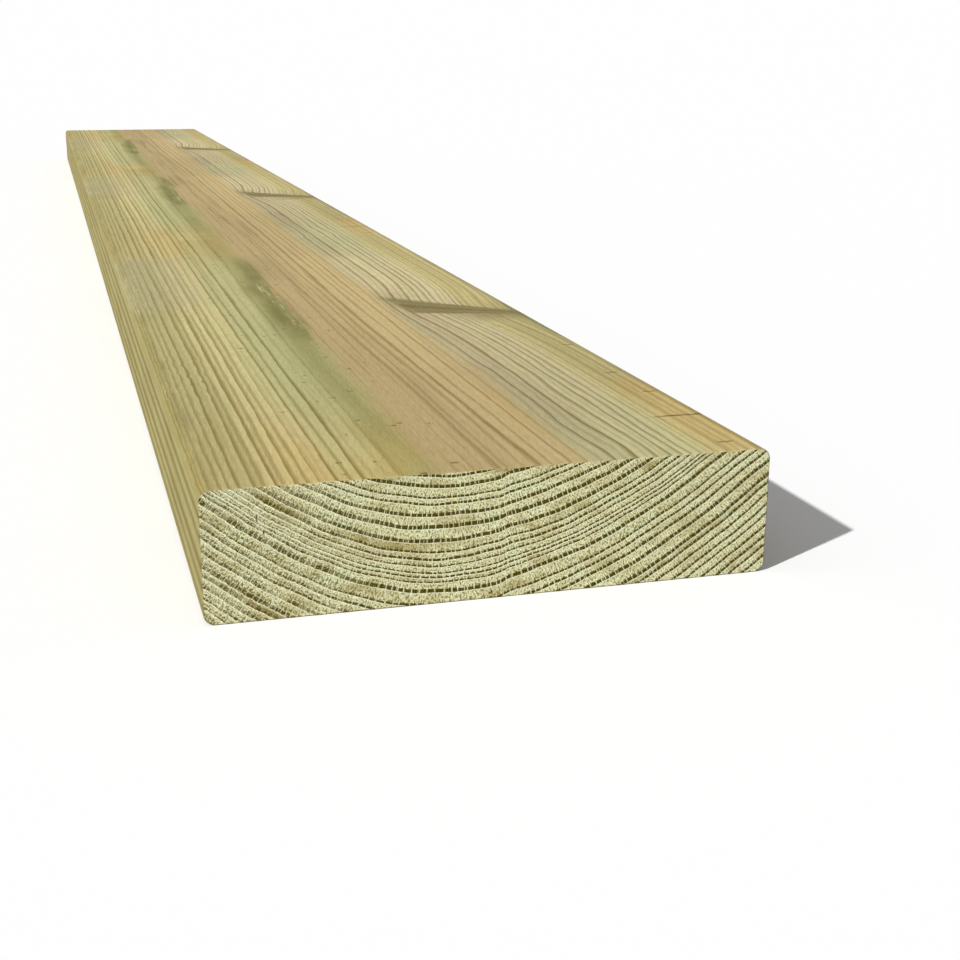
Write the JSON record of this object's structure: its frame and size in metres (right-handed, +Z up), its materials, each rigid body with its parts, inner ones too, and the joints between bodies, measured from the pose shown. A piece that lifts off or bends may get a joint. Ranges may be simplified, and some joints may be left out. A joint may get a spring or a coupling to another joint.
{
  "type": "timber plank",
  "caption": "Planed, pressure-treated softwood plank of rectangular section with eased long edges and square-sawn ends, lying flat; building timber to lay, span, stack or fix.",
  "frame": {"origin": "centre of the underside, on the surface that the plank lies on", "axes": "+Y along the grain and the length, away from the end that the picture shows in front; +X across the broad face, to the picture's right; +Z up through the thickness"},
  "size_m": [0.195, 1.95, 0.045],
  "materials": {
    "treated_softwood": "planed pressure-treated pine, green-tinted, matt, with sawn end grain"
  },
  "bodies": {
    "root": {"plank": "treated_softwood"}
  },
  "joints": []
}
